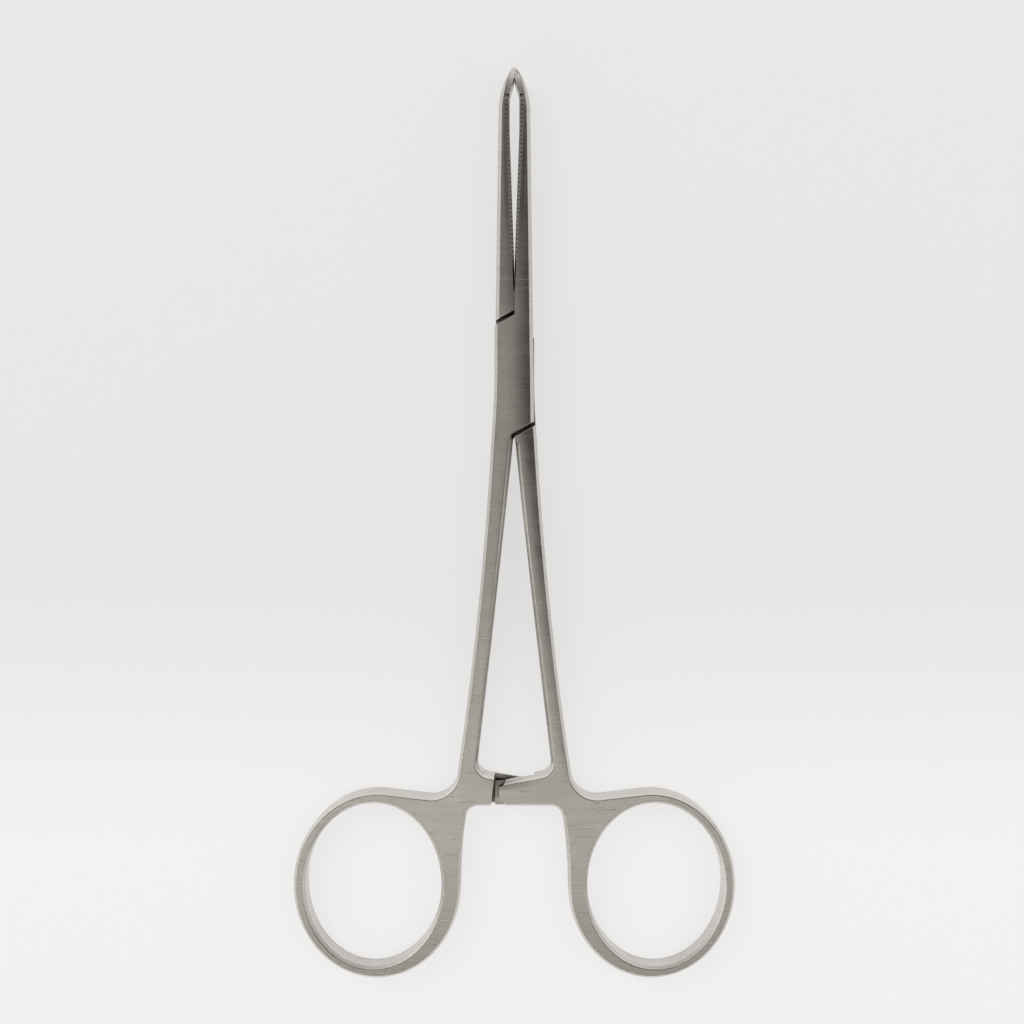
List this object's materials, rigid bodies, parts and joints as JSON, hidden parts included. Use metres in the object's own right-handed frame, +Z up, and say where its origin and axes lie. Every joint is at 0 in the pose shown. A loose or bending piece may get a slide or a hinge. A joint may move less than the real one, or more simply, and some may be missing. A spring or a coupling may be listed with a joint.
{
  "type": "hemostat forceps",
  "caption": "Straight box-lock hemostat forceps with serrated jaws, hooked tips, two finger rings and a ratchet between the shanks.",
  "frame": {"origin": "on the pivot axis, at the underside of the box lock, on which the instrument lies", "axes": "+X across the finger rings, +Y from the rings to the tips, +Z up through the instrument's thickness"},
  "size_m": [0.0678, 0.1399, 0.0044],
  "materials": {
    "arm_steel": "satin",
    "pin_steel": "ground flush"
  },
  "bodies": {
    "box_arm": {"box_arm": "arm_steel", "pivot_pin": "pin_steel"},
    "inner_arm": {"inner_arm": "arm_steel"}
  },
  "joints": [
    {"name": "box_lock", "type": "hinge", "parent": "box_arm", "child": "inner_arm", "pos_m": [0, 0, 0.0022], "axis": [0, 0, 1], "range_deg": [0, 60]}
  ]
}
